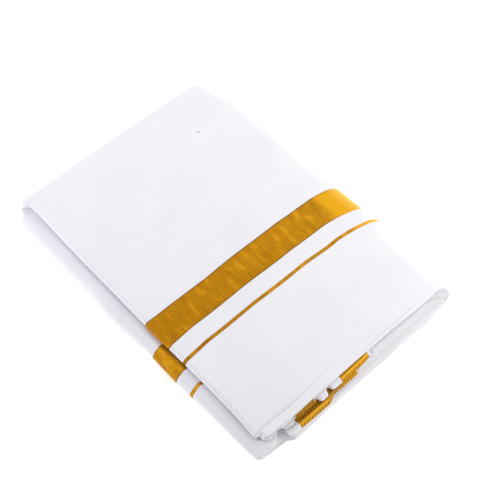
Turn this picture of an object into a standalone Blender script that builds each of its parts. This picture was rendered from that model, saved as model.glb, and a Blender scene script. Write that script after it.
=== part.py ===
"""A cotton dhoti folded flat into a book of two packets, lying on its side of rest.

The cloth was folded in four across its width and then halved four times along its length.
X runs along the pack, from the closed end to the open, layered end.
Y runs across it, from the two open packet folds to the closed book fold. Z is up, and the pack rests on z = 0.
Every piece is laid out as a square pack in millimetres, and settle() then gives all of them the same lie.
"""
import math

import bmesh
import bpy

MM = 0.001

# Pack sizes, mm
PACK_TOP = 32.0          # height of the flat part of the top
PACK_END = 374.5         # open end of the upper packet, from the closed end at x = 0
FOOT_END = 384.0         # open end of the lowest ply
CORNER_END = 378.0       # open end of the lower packet at its free corner
BOOK_FOLD_Y = 240.0      # where the top starts to turn into the book fold
BOOK_FOLD_REACH = 20.0   # how far the book fold bulges past that
PACKET_SPLIT_LOW = 21.2  # top of the lower packet at its free edge
PACKET_SPLIT_HIGH = 22.4  # underside of the upper packet there
LOWER_REACH = -14.5      # how far the lower packet's fold stands out in -Y
SPLIT_DEPTH = 26.0       # how far the cloth is seen to run in between the packets
CENTRE_X = 192.65        # the pack's middle, so that the origin is under it
CENTRE_Y = 125.75

# Cloth walls, mm
WRAP_WALL = 1.3
FLAP_WALL = 1.0
FLAP_SINK = 1.45         # the wrap lies this much lower under the flap
SEAM = 0.35              # clearance between pieces
CORE_INSET = FLAP_SINK + WRAP_WALL + 0.45
FOLD_WALL = 1.1

# Stations along the pack that every piece shares, so that their surfaces stay parallel
ALONG = [14, 45, 90, 140, 180, 205.6, 224, 241.8, 265, 290, 315, 340, 363.8]

# Selvedge flap, mm from the closed end
FLAP_START = 206.6
FLAP_END = 365.0
FLAP_SKEW = 24.0         # how much nearer the open end it starts on the lower packet
BAND_END = 241.8         # the wide gold band runs from the selvedge to here
LINE_START = 260.2       # the thin gold line
LINE_END = 265.0

UPPER_R = (PACK_TOP - PACKET_SPLIT_HIGH) / 2
UPPER_Z = PACKET_SPLIT_HIGH + UPPER_R
LOWER_R = PACKET_SPLIT_LOW / 2
LOWER_Y = LOWER_REACH + LOWER_R

# Outline of the book fold: how far out it lies at stations along the pack
BOOK_EDGE = [  # x, y
    (0, 257.5), (15, 260), (35, 263), (60, 264.5), (110, 263.5), (135, 261.5), (165, 258),
    (190, 259), (225, 265), (258, 266.5), (285, 261.5), (320, 255), (345, 252.5), (375, 250), (390, 249.5)]
# The two free folds: how far each strays from a straight line, in +Y
UPPER_EDGE = [(0, 0.8), (12, 2.8), (36, 2.7), (54, 2.0), (90, 0.9), (150, 0.3), (190, -0.6), (230, -1.1),
              (245, -0.2), (330, -0.5), (360, -1.0), (390, -1.0)]
LOWER_EDGE = [(0, 4.5), (8, 1.4), (18, -0.9), (28, 0), (128, 0.4), (156, -1.7), (182, -1.6), (206, -0.5),
              (230, 1.0), (272, 0.4), (300, 1.6), (355, 2.3), (376, 3.6), (390, 4.0)]
# How far the top has sunk towards the book fold
TOP_SINK = [(0, 0.3), (20, 0), (150, 0), (180, 1.4), (205, 3.4), (225, 5.4), (240, 7.4), (262, 8.6)]
# Open end of the lowest ply along the end: the free corner steps back
FOOT_EDGE = [(-15, CORNER_END), (24, CORNER_END + 0.6), (31, FOOT_END + 0.3), (60, FOOT_END), (90, 383), (130, 383.2),
             (150, 384.4), (215, FOOT_END), (240, 382), (262, 379.5)]

# Up to here across the pack, folds of the woven end border stand out between the packets
BORDER_FOLDS_Y = 152.5
BORDER_FOLDS_ROOT = 372.2

# The hidden layers, from the bottom up: height of each ply's lower side, its open end, its closed end,
# and how far the dent between it and the one below goes in
PLIES = [  # z, open_end, closed_end, dent
    (3.1, 382.3, 2.6, 1.0), (6.0, 381.6, 1.9, 1.6), (9.0, 379.2, 2.4, 3.0), (12.0, 378.4, 2.0, 1.6),
    (15.0, 377.4, 2.7, 1.6), (18.1, 376.4, 3.2, 1.6), (21.6, 370.4, 4.0, 2.6), (25.5, 371.2, 3.0, 2.2)]
PLIES_TOP = 28.9


def between(table, value):
    """The second column read off a table by its first, along a smooth curve through the rows."""
    if value <= table[0][0]:
        return table[0][1]
    if value >= table[-1][0]:
        return table[-1][1]
    k = max(i for i in range(len(table) - 1) if table[i][0] <= value)
    (x1, y1), (x2, y2) = table[k], table[k + 1]
    x0, y0 = table[max(0, k - 1)]
    x3, y3 = table[min(len(table) - 1, k + 2)]
    width = x2 - x1
    t = (value - x1) / width
    rise_in, rise_out = (y2 - y0) / (x2 - x0) * width, (y3 - y1) / (x3 - x1) * width
    return ((1 + 2 * t) * (1 - t) ** 2 * y1 + t * (1 - t) ** 2 * rise_in
            + t * t * (3 - 2 * t) * y2 - t * t * (1 - t) * rise_out)


def ramp(value, start, end):
    """A smooth step from 0 at start to 1 at end."""
    share = min(1.0, max(0.0, (value - start) / (end - start)))
    return share * share * (3 - 2 * share)


def settle(x, y, z):
    """Carries a point of the square pack to where the settled cloth has it, in metres."""
    to_book = ramp(y, 120, BOOK_FOLD_Y)
    to_free = 1 - ramp(y, 0, 70)
    upper = ramp(z, 18.5, 24)
    free_shift = between(LOWER_EDGE, x) * (1 - upper) + between(UPPER_EDGE, x) * upper
    new_y = y + to_book * (between(BOOK_EDGE, x) - BOOK_FOLD_Y - BOOK_FOLD_REACH) + to_free * free_shift
    swell = 0.35 * math.sin(x / 52 + 0.7) * math.sin(y / 41 - 0.4) + 0.25 * math.sin(x / 97 - y / 63)
    ends = 0.7 * (1 - ramp(x, 0, 26)) + 0.9 * ramp(x, 352, 376)
    sunk = between(TOP_SINK, y) * (0.3 + 0.7 * ramp(x, 0, 110)) + ends - swell * ramp(y, 5, 40)
    waver = 0.5 * math.sin(y / 23 + 1) * ramp(x, 150, 205) * (1 - ramp(x, 270, 330))
    return ((x + waver - CENTRE_X) * MM, (new_y - CENTRE_Y) * MM, (z - sunk * ramp(z, 4, 27)) * MM)


def across(split_depth):
    """The pack's cross-section from the upper packet's underside round to the lower packet's top.

    Each row is y, z, the outward direction (ny, nz), how deep the cloth's end lip curls in, and the run's name.
    """
    rows = []
    for y in (split_depth, (split_depth + UPPER_R) / 2):
        rows.append((y, PACKET_SPLIT_HIGH, 0.0, -1.0, 1.0, "split"))
    for k in range(7):
        a = math.radians(270 - 30 * k)
        rows.append((UPPER_R + UPPER_R * math.cos(a), UPPER_Z + UPPER_R * math.sin(a), math.cos(a), math.sin(a),
                     1.0 + 0.25 * k, "upper fold"))
    for y in (24, 55, 90, 120, 145, 168, 188, 206, 224):
        rows.append((y, PACK_TOP, 0.0, 1.0, 2.6, "top"))
    tall = PACK_TOP / 2
    for k in range(9):
        a = math.radians(90 - 22.5 * k)
        c, s = math.cos(a), math.sin(a)
        length = math.hypot(c / BOOK_FOLD_REACH, s / tall)
        rows.append((BOOK_FOLD_Y + BOOK_FOLD_REACH * c, tall + tall * s, c / BOOK_FOLD_REACH / length,
                     s / tall / length, 2.6 - 0.15 * k, "book fold"))
    for y in (190, 130, 80, 45, 31, 24, 10):
        rows.append((y, 0.0, 0.0, -1.0, 1.0, "foot"))
    for k in range(8):
        a = math.radians(270 - 180 / 7 * k)
        rows.append((LOWER_Y + LOWER_R * math.cos(a), LOWER_R + LOWER_R * math.sin(a), math.cos(a), math.sin(a),
                     1.0 + 0.4 * min(k, 7 - k), "lower fold"))
    for y in ((split_depth + LOWER_Y) / 2, split_depth):
        rows.append((y, PACKET_SPLIT_LOW, 0.0, 1.0, 1.0, "split"))
    return rows


def wrap_end(row):
    """Where the wrap's open end lies at a row of the cross-section."""
    y, z, _, _, _, run = row
    if run in ("top", "upper fold"):
        return PACK_END
    if run == "book fold":
        low = ramp(PACK_TOP - z, 2, PACK_TOP)
        return PACK_END + (FOOT_EDGE[-1][1] - PACK_END) * low - 1.5 * (y - BOOK_FOLD_Y) / BOOK_FOLD_REACH
    if run == "foot":
        return between(FOOT_EDGE, y)
    return PACK_END - 0.5 if z > PACKET_SPLIT_LOW + 0.5 else CORNER_END


def wrap_start(row):
    """Where the wrap's closed end lies: the lower packet's free corner is set back."""
    y, z, _, _, _, run = row
    if run == "foot":
        return 1.0 + 1.2 * (1 - ramp(y, 10, 80))
    return 2.2 if run == "lower fold" or (run == "split" and z < PACKET_SPLIT_HIGH) else 0.5


def skew(row, x):
    """How far the flap's edge and the cloth round it lie askew, towards the open end, on the pack's underside."""
    y, z, _, _, _, run = row
    share = 1 - ramp(y, 20, 215) if run == "foot" else float(run == "lower fold" or z < PACKET_SPLIT_HIGH)
    if run in ("book fold", "top", "upper fold"):
        share = 0.0
    return share * FLAP_SKEW * ramp(x, 120, 200) * (1 - 0.62 * ramp(x, 290, 350)) * (1 - ramp(x, 362, 366))


def lip(depth, steps=4):
    """A quarter turn of cloth at an end: how far it draws back from the end, and how deep it dips."""
    turns = [math.radians(90 * k / steps) for k in range(steps + 1)]
    return [(depth * (1 - math.sin(a)), depth * (1 - math.cos(a))) for a in turns]


def sheet_object(name, rows, columns, wall, materials, slot_of=None):
    """An open sheet through rows of points, given its wall by Solidify on its inner side."""
    mesh = bpy.data.meshes.new(name)
    build = bmesh.new()
    grid = [[build.verts.new(point) for point in row] for row in rows]
    for i in range(len(rows) - 1):
        for j in range(columns - 1):
            face = build.faces.new((grid[i][j], grid[i][j + 1], grid[i + 1][j + 1], grid[i + 1][j]))
            face.smooth = True
            if slot_of:
                face.material_index = slot_of(i, j)
    build.to_mesh(mesh)
    build.free()
    piece = bpy.data.objects.new(name, mesh)
    for material in materials:
        mesh.materials.append(material)
    wall_maker = piece.modifiers.new("Cloth wall", "SOLIDIFY")
    wall_maker.thickness = wall * MM
    wall_maker.offset = -1
    wall_maker.use_even_offset = True
    pack.objects.link(piece)
    return piece


def colour(name, rgb, roughness, metallic=0.0):
    material = bpy.data.materials.new(name)
    material.use_nodes = True
    shader = material.node_tree.nodes["Principled BSDF"]
    shader.inputs["Base Color"].default_value = (*rgb, 1)
    shader.inputs["Roughness"].default_value = roughness
    shader.inputs["Metallic"].default_value = metallic
    return material


def make_wrap():
    """The outer ply, round both packets and the book fold, its ends turned in."""
    flat = sorted([*ALONG, 201, LINE_START])
    rows = []
    for row in across(SPLIT_DEPTH):
        y, z, ny, nz, depth, _ = row
        start, end = wrap_start(row), wrap_end(row)
        curl = lip(depth)
        stations = [(start + back, dip) for back, dip in reversed(curl)] + [(x, 0.0) for x in flat]
        stations += [(end - back, dip) for back, dip in curl]
        points = []
        for x, dip in stations:
            inward = dip + FLAP_SINK * ramp(x, 201, 205.6)
            points.append(settle(x + skew(row, x), y - ny * inward, z - nz * inward))
        rows.append(points)
    return sheet_object("outer_wrap", rows, len(rows[0]), WRAP_WALL, [colour("white_cotton", (0.86, 0.86, 0.88), 0.85)])


def make_flap():
    """The selvedge flap that lies on the wrap, with the gold band and line woven along its free edge."""
    stations = sorted([FLAP_START, LINE_START, FLAP_END, *[x for x in ALONG if x > FLAP_START]])
    dips = [0.0] * (len(stations) - 1) + [0.1]
    rows = []
    for row in across(SPLIT_DEPTH - 8):
        y, z, ny, nz, _, _ = row
        rows.append([settle(x + skew(row, min(x, 363.8)), y - ny * dip, z - nz * dip)
                     for x, dip in zip(stations, dips)])
    gold = {0, 1, stations.index(LINE_START)}
    materials = [colour("flap_cotton", (0.87, 0.87, 0.89), 0.85), colour("gold_zari", (0.52, 0.24, 0.03), 0.45, 0.4)]
    return sheet_object("border_flap", rows, len(stations), FLAP_WALL, materials, lambda i, j: int(j in gold))


def core_sides(z):
    """The hidden layers' sides at a height: free side and book-fold side."""
    if z <= PACKET_SPLIT_LOW - CORE_INSET:
        free = LOWER_Y - math.sqrt(max(0.0, (LOWER_R - CORE_INSET) ** 2 - (z - LOWER_R) ** 2))
    elif z >= PACKET_SPLIT_HIGH + CORE_INSET:
        free = UPPER_R - math.sqrt(max(0.0, (UPPER_R - CORE_INSET) ** 2 - (z - UPPER_Z) ** 2))
    else:
        free = SPLIT_DEPTH + 1.2
    tall = PACK_TOP / 2
    round_off = math.sqrt(max(0.0, 1 - ((z - tall) / (tall - CORE_INSET)) ** 2))
    return free, BOOK_FOLD_Y + (BOOK_FOLD_REACH - CORE_INSET - 1.0) * round_off


def core_level(z, open_end, closed_end):
    """One level of the hidden layers as rows of points across the pack, its corners clear of the wrap's lips."""
    free, book = core_sides(z)
    foot = ramp(open_end, 376, 379)
    rows = [[(closed_end + 6, free + 4.6), *[(x, free) for x in ALONG], (open_end - 8, free + 4.6)]]
    for k, station in enumerate((2, 18, 27, 34, 60, 90, 120, BORDER_FOLDS_Y, BORDER_FOLDS_Y + 5.5, 195, 222, 300)):
        y = min(max(station, free + 7 + 0.9 * k), book - 7 - 0.9 * (11 - k))
        reach = open_end - foot * (open_end - CORNER_END + 3) * (1 - ramp(y, 22, 33))
        if 11.9 < z < PACKET_SPLIT_HIGH and y < BORDER_FOLDS_Y + 1:
            reach = min(reach, BORDER_FOLDS_ROOT)
        ripple = 0.35 * math.sin(y / 9 + z)
        rows.append([(closed_end + ripple, y), *[(x, y) for x in ALONG], (reach + ripple, y)])
    rows.append([(closed_end + 6, book - 4.6), *[(x, book) for x in ALONG], (open_end - 8, book - 4.6)])
    return rows


def make_core():
    """The plies inside the wrap as one body, with a rounded edge for each ply at the two ends."""
    levels = []
    for k, (z, open_end, closed_end, dent) in enumerate(PLIES):
        top = PLIES[k + 1][0] if k + 1 < len(PLIES) else PLIES_TOP
        for share, out in ((0.0, 0.0), (0.18, 0.62), (0.5, 1.0), (0.82, 0.62)):
            back = dent * (1 - out)
            levels.append((z + (top - z) * share, open_end - back, closed_end + back))
    levels.append((PLIES_TOP, PLIES[-1][1] - 2.2, PLIES[-1][2] + 2.2))
    mesh = bpy.data.meshes.new("inner_layers")
    build = bmesh.new()
    loops = []
    for level in levels:
        rows = core_level(*level)
        closing = level in (levels[0], levels[-1])
        last = len(rows) - 1
        grid = [[build.verts.new(settle(x, y, level[0])) if closing or j in (0, last) or k in (0, len(row) - 1)
                 else None for k, (x, y) in enumerate(row)] for j, row in enumerate(rows)]
        loops.append(grid[0] + [row[-1] for row in grid[1:-1]] + grid[-1][::-1] + [row[0] for row in grid[-2:0:-1]])
        if closing:
            for low, high in zip(grid, grid[1:]):
                for k in range(len(low) - 1):
                    corners = (low[k], low[k + 1], high[k + 1], high[k])
                    build.faces.new(corners if level is levels[-1] else corners[::-1])
    for low, high in zip(loops, loops[1:]):
        for k in range(len(low)):
            ahead = (k + 1) % len(low)
            build.faces.new((low[k], low[ahead], high[ahead], high[k]))
    build.to_mesh(mesh)
    build.free()
    piece = bpy.data.objects.new("inner_layers", mesh)
    mesh.materials.append(colour("inner_cotton", (0.8, 0.8, 0.83), 0.88))
    pack.objects.link(piece)
    return piece


def make_end_fold(name, noses, height, tall, gold_runs):
    """A fold of the woven end border that stands out of the open end: a U of cloth lying on its side.

    noses lists how far out the fold comes at stations across the pack, and gold_runs where its weave is gold.
    """
    root = BORDER_FOLDS_ROOT + 0.8
    edges = sorted({noses[0][0], noses[-1][0], *[y for run in gold_runs for y in run]})
    ys = [edges[0]]
    for low, high in zip(edges, edges[1:]):
        parts = max(1, round((high - low) / 9))
        ys += [low + (high - low) * (k + 1) / parts for k in range(parts)]
    rows = []
    for y in ys:
        nose = between(noses, y)
        points = []
        for a in (90, 60, 30, 0, -30, -60, -90):
            turn = math.radians(a)
            points.append(settle(nose - tall / 2 * (1 - math.cos(turn)), y, height + tall / 2 * math.sin(turn)))
        arms = [settle(root, y, height + side * tall / 2) for side in (1, -1)]
        rows.append([arms[0], *points, arms[1]])
    materials = [colour(name + "_white", (0.85, 0.85, 0.86), 0.85), colour(name + "_gold", (0.55, 0.28, 0.05), 0.5, 0.3)]

    def slot_of(i, _):
        middle = (ys[i] + ys[i + 1]) / 2
        return int(any(low < middle < high for low, high in gold_runs))

    return sheet_object(name, rows, 9, FOLD_WALL, materials, slot_of)


for old in list(bpy.data.objects):
    bpy.data.objects.remove(old, do_unlink=True)
pack = bpy.data.collections.new("folded dhoti")
bpy.context.scene.collection.children.link(pack)

make_wrap()
make_flap()
make_core()
make_end_fold("end_fold_upper", [(38, 376.2), (44, 377.4), (94, 377.2), (140, 378), (151, 376.8)], 19.2, 4.0,
              [(42, 60), (94, 138)])
make_end_fold("end_fold_lower", [(29, 382.5), (34, 384.2), (78, 383.8), (86, 382.6), (90, 380), (122, 378.6)], 14.7, 4.3,
              [(42, 122)])
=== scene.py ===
"""The looks of a cotton dhoti folded into a book of two packets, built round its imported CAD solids.

Every ply is laid out in the square pack of the CAD source, in millimetres, and settle() gives all of them
one lie. X runs from the closed end to the open, layered end, Y from the two free folds to the closed book
fold, and Z up. r is the way round a packet, equal to y on its flat side: below 0 it goes down the free fold,
and on the upper packet past 240 down the book fold.
"""
import math

import bmesh
import bpy
import numpy as np
from mathutils import Matrix, Vector


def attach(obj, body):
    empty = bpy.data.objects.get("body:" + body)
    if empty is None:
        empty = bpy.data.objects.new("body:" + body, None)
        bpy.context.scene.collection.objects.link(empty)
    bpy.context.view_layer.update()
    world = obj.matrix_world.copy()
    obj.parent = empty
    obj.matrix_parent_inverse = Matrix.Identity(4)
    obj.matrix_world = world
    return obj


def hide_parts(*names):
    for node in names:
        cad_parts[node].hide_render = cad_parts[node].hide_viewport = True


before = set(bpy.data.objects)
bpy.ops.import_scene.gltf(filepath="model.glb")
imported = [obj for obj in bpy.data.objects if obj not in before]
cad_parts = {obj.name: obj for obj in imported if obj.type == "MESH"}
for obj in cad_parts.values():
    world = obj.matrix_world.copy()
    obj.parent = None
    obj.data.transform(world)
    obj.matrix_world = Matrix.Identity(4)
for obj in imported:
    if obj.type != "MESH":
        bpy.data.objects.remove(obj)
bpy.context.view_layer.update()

MM = 0.001

# Pack sizes, mm, as in the CAD source
PACK_TOP = 32.0
PACK_END = 374.5
FOOT_END = 384.0
CORNER_END = 378.0
BOOK_FOLD_Y = 240.0
BOOK_FOLD_REACH = 20.0
PACKET_SPLIT_LOW = 21.2
PACKET_SPLIT_HIGH = 22.4
LOWER_REACH = -14.5
CENTRE_X = 192.65
CENTRE_Y = 125.75
UPPER_R = (PACK_TOP - PACKET_SPLIT_HIGH) / 2
UPPER_Z = PACKET_SPLIT_HIGH + UPPER_R
LOWER_R = PACKET_SPLIT_LOW / 2
LOWER_Y = LOWER_REACH + LOWER_R
SPLIT_MIDDLE = (PACKET_SPLIT_LOW + PACKET_SPLIT_HIGH) / 2
SPLIT_RADIUS = (PACKET_SPLIT_HIGH - PACKET_SPLIT_LOW) / 2
SPLIT_END_Y = 241.0  # the split between the packets runs in to here

# Selvedge flap and its woven stripes, mm from the closed end
FLAP_START = 206.6
FLAP_END = 365.0
BAND_END = 241.8
LINE_START = 260.9
LINE_END = 264.8
FLAP_DEPTH = 60.0  # how far the flap runs in between the packets

# Cloth, mm
CLOTH = 0.4  # thickness of one ply
BORDER_CLOTH = 0.45  # and of the end border
FLAP_LAP = 22.0  # how far a folded-over edge runs back under itself
WRAP_LIP = 0.55  # radius of the fold at the wrap's ends
FLAP_LIP = 0.42  # and at the flap's
WRAP_INSET = 0.5  # the wrap lies this far under the flap's face
FOLD_SINK = 0.5  # and this much further under the flap's folded-over end
MIDDLE_INSET = 4.75  # half of the upper packet
RING_PLIES = [  # outer face's inset, thickness: plies that go round both packets
    (1.72, 0.98), (2.86, 0.98), (4.0, 0.7)]
OVAL_PLIES = [  # the same for those inside the lower packet
    (4.85, 1.35), (6.32, 1.35), (7.79, 1.35), (9.26, 1.3)]
OVAL_END_Y = 243.0  # these turn back here at the book fold
OVAL_REACH = 3.4  # and that turn reaches this much past a round one
BOOK_PLIES = [  # the same for those in the book fold, then the heights that each one's path runs between
    (4.85, 1.9, 8.0, 31.0), (6.9, 1.9, 9.5, 30.8), (8.95, 1.9, 11.3, 29.8), (11.0, 1.9, 13.8, 28.6)]

# Grid steps, mm: the fine one, the coarse one, and the y between the packets where one gives way to the other
WRAP_STEPS = (3.0, 8.0, 145)
FLAP_STEPS = (2.6, 8.0, 30)
PLY_STEPS = (3.0, 8.0, 150)
WRAP_COLUMNS = [  # from, to, step, as shares of the way from its closed end to its open one
    (0.01, 0.94, 0.01), (0.942, 0.972, 0.003), (0.9725, 0.9985, 0.001)]
FLAP_COLUMNS = [(FLAP_START, 352, 2.5), (352, FLAP_END - 1.5, 1.2)]  # the same in mm
PLY_EDGE = 6.0  # this far from both ends a hidden ply's face has its first and last column
FIRST_PLY_SEED = 5  # the wave of the first one's ends

# Outline tables, mm. They follow the CAD source's, with finer detail at the corners.
BOOK_EDGE = [  # x, and where the book fold's outside lies
    (-6, 256.5), (0, 254.6), (6, 253.2), (18, 256.8), (31, 260.6), (45, 264.2), (60, 266.4), (110, 266.2),
    (135, 265), (165, 264.3), (200, 265), (241, 265.4), (256, 265.8), (268, 266.4), (277, 265.8),
    (282, 261.6), (288, 259.0), (300, 257), (320, 255), (345, 254.3), (365, 253.8), (392, 254.3)]
UPPER_EDGE = [  # x, and how far the upper packet's free fold is shifted
    (-6, -3.2), (2, -0.9), (6, 1.2), (12, 2.6), (36, 2.7), (54, 2.0), (90, 0.9), (150, 0.3), (190, -0.6),
    (230, -1.1), (245, -0.2), (330, -0.5), (360, -1.0), (390, -1.0)]
LOWER_EDGE = [  # the same for the lower packet
    (-6, 9.0), (1, 7.1), (4, 5.6), (6, 4.1), (8, 2.1), (10, 0.5), (18, -0.9), (28, 0), (128, 0.4),
    (156, -1.7), (182, -1.6), (206, -0.5), (230, 1.0), (272, 0.4), (300, 1.6), (355, 2.3), (376, 3.6),
    (390, 4.0)]
TOP_SINK = [  # y, and how far the top has sunk
    (0, 0.3), (20, 0), (150, 0), (180, 1.4), (205, 3.4), (225, 5.4), (240, 7.4), (262, 8.6)]
FOOT_EDGE = [  # y, and where the wrap ends under the pack at the open end
    (-15, CORNER_END - 0.4), (-1.5, CORNER_END + 0.2), (8.5, 379.1), (18.5, 379.9), (23.5, 380.3),
    (25.5, 381.7), (27.5, 384.3), (31, FOOT_END + 0.8), (60, FOOT_END + 0.8), (90, 384), (130, 384.4),
    (150, 385), (200, FOOT_END + 0.8), (221, 385.6), (240, 384.4), (262, 383.2)]
CLOSED_EDGE = [  # y, and where it ends at the closed end
    (-15, 0.2), (3, -0.3), (20, 0.0), (60, -0.8), (150, -1.9), (235, -2.5), (250, -3.6), (262, -5.5)]
FOOT_START = 1.0  # under the pack it ends here instead
FOOT_CORNER_START = 2.2  # and here at the free corner
INNER_START = 1.4  # and here between the packets and on the lower one

# How the square pack settles, mm. A pair is where a smooth step starts and ends.
BOOK_SPREAD = (120, BOOK_FOLD_Y)  # y: the book fold's shift grows from nothing to all of it
FREE_SPREAD = (0, 70)  # y: the free folds' shift fades
PACKET_STEP = (18.5, 24)  # z: from the lower packet's lie to the upper one's
SINK_STEP = (4, 27)  # z: from no sinking to all of it
SWELL = (0.35, 52.0, 41.0)  # broad swells of the top: rise, and mm to a radian in x and y
SLANT_SWELL = (0.25, 97.0, 63.0)  # the same for slanting ones
END_SINK = (0.7, 0.9)  # how far the top's closed and open ends have sunk
WAVER = (0.5, 23.0)  # how far plies stray in x by the band, and how long that wave is
CORNER_DROOP = 6.0  # how far the pack hangs down at its free corner
CORNER_PULL = 2.6  # and how far that corner of the upper packet is drawn back
CORNER_TRIM = 2.6  # with this much more past the flap's end
CORNER_FILL = 4.0  # how far the plies by the split bulge at the closed corner
CORNER_CLOSE = 0.8  # and what share of the gap they close there
FREE_STEP = 4.4  # how far the upper free fold steps back past the flap's end

# The two ends of the hidden plies, mm
OPEN_END = [  # z, x
    (0, 384.0), (4.0, 383.8), (7.6, 383.0), (8.6, 381.4), (9.4, 380.6), (15.0, 377.7), (20.8, 375.6),
    (21.9, 375.4), (22.8, 375.2), (24.4, 374.8), (25.2, 371.2), (30.0, 370.0), (32.0, 370.0)]
CLOSED_END = [  # the same
    (0, 2.8), (6, 2.0), (10, 2.5), (14, 2.1), (18, 3.2), (22, 4.0), (26, 3.0), (32, 3.2)]
BOOK_BULGE = 3.4  # how much further the plies in the book fold reach
BORDER_FOLDS_ROOT = 371.6
BORDER_FOLDS_START = 24.0  # where across the pack they start
BORDER_FOLDS_END = (119.5, 143.0)  # and where the lower and the upper one end
BORDER_FOLDS_Z = (9.4, 16.6, 21.9)  # the lower one's underside, the height between them, the upper one's top
OVER_FOLDS_END = 373.2  # above them the plies end here
UPPER_END = 373.0  # and past them the upper packet's plies do, at the split
POCKET = (20.5, 14.0, 26.0)  # a pocket by the free corner: y, z, depth
POCKET_REACH = (8.5, 5.0, 7.0)  # its half width towards the corner and away from it, and its half height
CORNER_NOTCHES = [(24.5, 3.2), (3.0, 3.4)]  # dents in the wrap's end at the book fold: z, depth
NOTCH_HALF = 0.9  # their half height

# Relief of the outer plies, mm
PUFF = (2.2, -2.2, 3.6)  # the lower packet's top rises into the angle under the upper fold: rise, y, reach
GROOVE_X = 365.2  # a soft groove runs along here on the upper packet, at the flap's end
GROOVE_DEPTH = [  # r, depth
    (-6, 0.4), (1, 1.6), (30, 1.5), (58, 0.9), (80, 0.5), (105, 0.2), (135, 0.12), (160, 0.3), (205, 0.25),
    (225, 0.1), (240, 0.0)]
GROOVE_WIDTHS = (1.2, 2.6)  # its half width near the free fold, and from there on
TUCK_EDGE = [  # r, x: the edge of a ply that shows on the upper packet
    (120, 372.4), (175, 371.6), (205, 370.4), (235, 369.2)]
TUCK_DEPTH = 0.95  # of the fine groove along that edge
TUCK_HALF = 0.5  # its half width
TUCK_STEP = 0.2  # and how much lower the cloth lies past it

# How far the flap strays towards the open end, mm
STRAY = [  # r, its free edge, the band's other edge, the thin line
    (-14, -2.5, -4.0, -3.5), (-8.4, -1.4, -2.5, -1.9), (-4.6, -0.8, -0.3, 0.2), (0, -0.6, 0.7, 1.1),
    (15, 0.1, 0.1, 0.5), (31, 0.2, -0.5, -0.3), (45, 0.7, 0.1, 0.2), (60, 1.2, 0.6, 0.5),
    (78, 1.7, 0.7, 0.6), (95, 1.0, 0.4, 0.5), (120, 0.3, 0.5, 0.8), (141, 0.3, 0.6, 0.5),
    (160, 0.2, 0.5, 0.4), (175, 0.2, 1.0, 1.2), (190, 0.9, 1.3, 2.1), (203, 1.0, 1.4, 1.8),
    (210, 1.1, 1.6, 2.3), (219, 1.2, 2.5, 3.1), (230, 1.8, 4.2, 4.6), (240, 3.0, 6.1, 6.3),
    (249, 4.7, 7.6, 7.8), (262, 6.0, 8.6, 9.3)]
UNDER_STRAY = (24.0, 25.4, 25.2)  # the same three under the pack and on the lower packet
UNDER_END_STRAY = 11.6  # and the folded-over end's there

# Soft creases: from x, r to x, r, then their rise and half width, mm
UPPER_CREASES = [
    (62, 190, 98, 96, 0.45, 17), (98, 120, 128, 22, -0.40, 15), (128, 96, 150, 20, 0.28, 12),
    (20, 225, 34, 118, -0.35, 13), (152, 214, 176, 60, 0.30, 11), (30, 96, 74, 30, 0.25, 14),
    (225, 150, 300, 118, -0.30, 16), (268, 90, 345, 58, 0.34, 15), (285, 210, 352, 160, 0.25, 14),
    (300, 40, 362, 4, -0.95, 26), (90, 232, 190, 221, 0.32, 10), (216, 236, 330, 224, 0.30, 9),
    (366, 0.6, 373.5, 2.2, -0.55, 1.1), (28, 252, 102, 257, -0.55, 3.2), (60, 262, 176, 268, 0.40, 5),
    (205, 258, 292, 266, -0.45, 5), (300, 254, 372, 262, 0.35, 5), (120, 276, 205, 281, -0.40, 4.5),
    (18, 274, 84, 280, 0.35, 5), (262, 279, 350, 283, -0.35, 4.5), (14, -4, 120, -7, -0.16, 3),
    (238, -5, 350, -3, 0.14, 3)]
LOWER_CREASES = [
    (10, -6, 150, -9, 0.22, 4), (150, -12, 252, -14, -0.30, 4), (262, -8, 352, -11, 0.25, 4.5),
    (70, -20, 190, -22, -0.22, 3.5), (300, -19, 374, -22, 0.2, 3.5), (20, 8, 130, 10, -0.2, 6)]


def between(table, value):
    """The second column read off a table by its first, along a smooth curve through the rows."""
    rows = np.array(table, float)
    xs, ys = rows[:, 0], rows[:, 1]
    value = np.clip(value, xs[0], xs[-1])
    k = np.clip(np.searchsorted(xs, value, side="right") - 1, 0, len(xs) - 2)
    before, after = np.maximum(k - 1, 0), np.minimum(k + 2, len(xs) - 1)
    width = xs[k + 1] - xs[k]
    t = (value - xs[k]) / width
    rise_in = (ys[k + 1] - ys[before]) / (xs[k + 1] - xs[before]) * width
    rise_out = (ys[after] - ys[k]) / (xs[after] - xs[k]) * width
    return ((1 + 2 * t) * (1 - t) ** 2 * ys[k] + t * (1 - t) ** 2 * rise_in
            + t * t * (3 - 2 * t) * ys[k + 1] - t * t * (1 - t) * rise_out)


def ramp(value, start, end):
    """A smooth step from 0 at start to 1 at end."""
    share = np.clip((value - start) / (end - start), 0.0, 1.0)
    return share * share * (3 - 2 * share)


def within(value, start, full, fading, end):
    """A smooth step up from start to full, and one down from fading to end."""
    return ramp(value, start, full) * (1 - ramp(value, fading, end))


def bell(value, middle, half):
    """1 at the middle, fading to both sides of it."""
    return np.exp(-((value - middle) / half) ** 2)


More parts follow.
